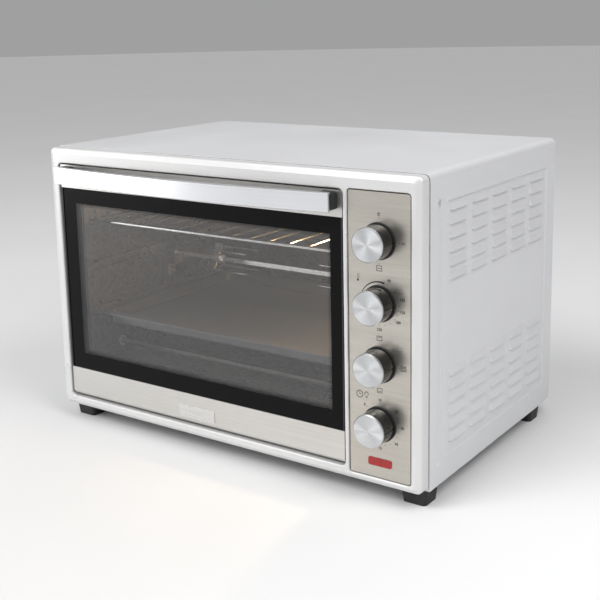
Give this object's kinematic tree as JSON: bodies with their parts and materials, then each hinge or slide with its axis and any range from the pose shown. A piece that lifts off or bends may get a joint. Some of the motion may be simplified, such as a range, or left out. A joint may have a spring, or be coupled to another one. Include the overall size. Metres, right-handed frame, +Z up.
{
  "type": "toaster oven",
  "caption": "Countertop toaster oven: silver case, drop-down glass door with a bowed bar handle, rotary controls, spit, wire rack, baking tray and a convection fan.",
  "frame": {"origin": "under the middle of the whole object's box, on the counter at the underside of the feet", "axes": "+Z up, -Y out of the door (front), +X to the right seen from the front, where the controls are"},
  "size_m": [0.5628, 0.4028, 0.377],
  "materials": {
    "cover_paint": "satin silver-white enamel",
    "frame_paint": "satin silver-white enamel",
    "plated_sheet": "zinc-plated sheet",
    "cavity_steel": "aluminised sheet",
    "panel_steel": "warm brushed steel",
    "trim_steel": "brushed steel",
    "handle_steel": "polished steel",
    "badge_steel": "satin steel",
    "black_enamel": "black enamel",
    "black_plastic": "matt",
    "timer_brass": "cast case",
    "door_glass": "clear with a black printed border",
    "gasket_rubber": "matt",
    "foot_rubber": "matt",
    "screw_steel": "plated",
    "chrome_wire": "bright plated",
    "tray_steel": "grey enamelled sheet",
    "heater_tube": "dark sheathed tube",
    "ceramic": "ceramic",
    "lamp_glass": "clear domed glass",
    "red_lens": "translucent red",
    "neon_lamp": "neon indicator",
    "knob_dark": "smoky metallised plastic",
    "knob_aluminium": "spun face with a bright chamfer",
    "fan_aluminium": "stamped"
  },
  "bodies": {
    "case": {"outer_cover": "cover_paint", "back_panel": "plated_sheet", "base_panel": "plated_sheet", "front_frame": "frame_paint", "chassis_front": "plated_sheet", "feet": "foot_rubber", "case_screws": "screw_steel", "hinge_brackets": "plated_sheet", "cavity_left_wall": "cavity_steel", "cavity_right_wall": "cavity_steel", "cavity_roof": "cavity_steel", "cavity_floor": "cavity_steel", "cavity_rear_wall": "cavity_steel", "heaters": "heater_tube", "heater_insulators": "ceramic", "oven_lamp_glass": "lamp_glass", "oven_lamp_holder": "ceramic", "fan_can": "plated_sheet", "fan_motor": "plated_sheet", "spit_motor": "plated_sheet", "spit_support": "chrome_wire", "control_panel": "panel_steel", "knob_collars": "black_plastic", "indicator_lens": "red_lens", "indicator_lamp": "neon_lamp", "cord_gland": "black_plastic", "terminal_block": "ceramic", "function_switch": "black_plastic", "thermostat": "black_plastic", "heat_selector": "black_plastic", "timer": "timer_brass"},
    "door": {"door_liner": "black_enamel", "hinge_pins": "screw_steel", "door_glass": "door_glass", "glass_gasket": "gasket_rubber", "lower_trim": "trim_steel", "upper_trim": "trim_steel", "door_badge": "badge_steel", "handle_bar": "handle_steel", "handle_brackets": "black_plastic", "handle_screws": "screw_steel"},
    "rack": {"wire_rack": "chrome_wire"},
    "tray": {"baking_tray": "tray_steel"},
    "spit": {"spit_socket": "chrome_wire", "spit_rod": "chrome_wire", "spit_forks": "chrome_wire", "fork_screws": "screw_steel"},
    "fan": {"fan_blade": "fan_aluminium"},
    "function_control": {"function_knob": "knob_dark", "function_knob_cap": "knob_aluminium", "function_shaft": "screw_steel"},
    "temperature_control": {"temperature_knob": "knob_dark", "temperature_knob_cap": "knob_aluminium", "temperature_shaft": "screw_steel"},
    "heat_control": {"heat_knob": "knob_dark", "heat_knob_cap": "knob_aluminium", "heat_shaft": "screw_steel"},
    "timer_control": {"timer_knob": "knob_dark", "timer_knob_cap": "knob_aluminium", "timer_shaft": "screw_steel"}
  },
  "joints": [
    {"name": "door_hinge", "type": "hinge", "parent": "case", "child": "door", "pos_m": [-0.0415, -0.1639, 0.0415], "axis": [1, 0, 0], "range_deg": [0, 90], "stiffness_Nm_per_rad": 1.2, "springref_deg": -28.65},
    {"name": "rack_slide", "type": "slide", "parent": "case", "child": "rack", "axis": [0, -1, 0], "range_m": [0, 0.17]},
    {"name": "tray_slide", "type": "slide", "parent": "case", "child": "tray", "axis": [0, -1, 0], "range_m": [0, 0.1104]},
    {"name": "spit_turn", "type": "hinge", "parent": "case", "child": "spit", "pos_m": [-0.038, 0.0141, 0.203], "axis": [1, 0, 0], "continuous": true},
    {"name": "fan_spin", "type": "hinge", "parent": "case", "child": "fan", "pos_m": [0.1648, 0.0986, 0.203], "axis": [1, 0, 0], "continuous": true},
    {"name": "function_turn", "type": "hinge", "parent": "case", "child": "function_control", "pos_m": [0.22625, -0.1969, 0.3025], "axis": [0, 1, 0], "range_deg": [-180, 90]},
    {"name": "temperature_turn", "type": "hinge", "parent": "case", "child": "temperature_control", "pos_m": [0.22625, -0.1969, 0.233], "axis": [0, 1, 0], "range_deg": [-150, 90]},
    {"name": "heat_turn", "type": "hinge", "parent": "case", "child": "heat_control", "pos_m": [0.22625, -0.1969, 0.1635], "axis": [0, 1, 0], "range_deg": [-180, 90]},
    {"name": "timer_turn", "type": "hinge", "parent": "case", "child": "timer_control", "pos_m": [0.22625, -0.1969, 0.094], "axis": [0, 1, 0], "range_deg": [-135, 120]}
  ],
  "couplings": [
    {"joint": "rack_slide", "follows": "door_hinge", "m_per_rad": 0.108},
    {"joint": "tray_slide", "follows": "door_hinge", "m_per_rad": 0.07}
  ]
}
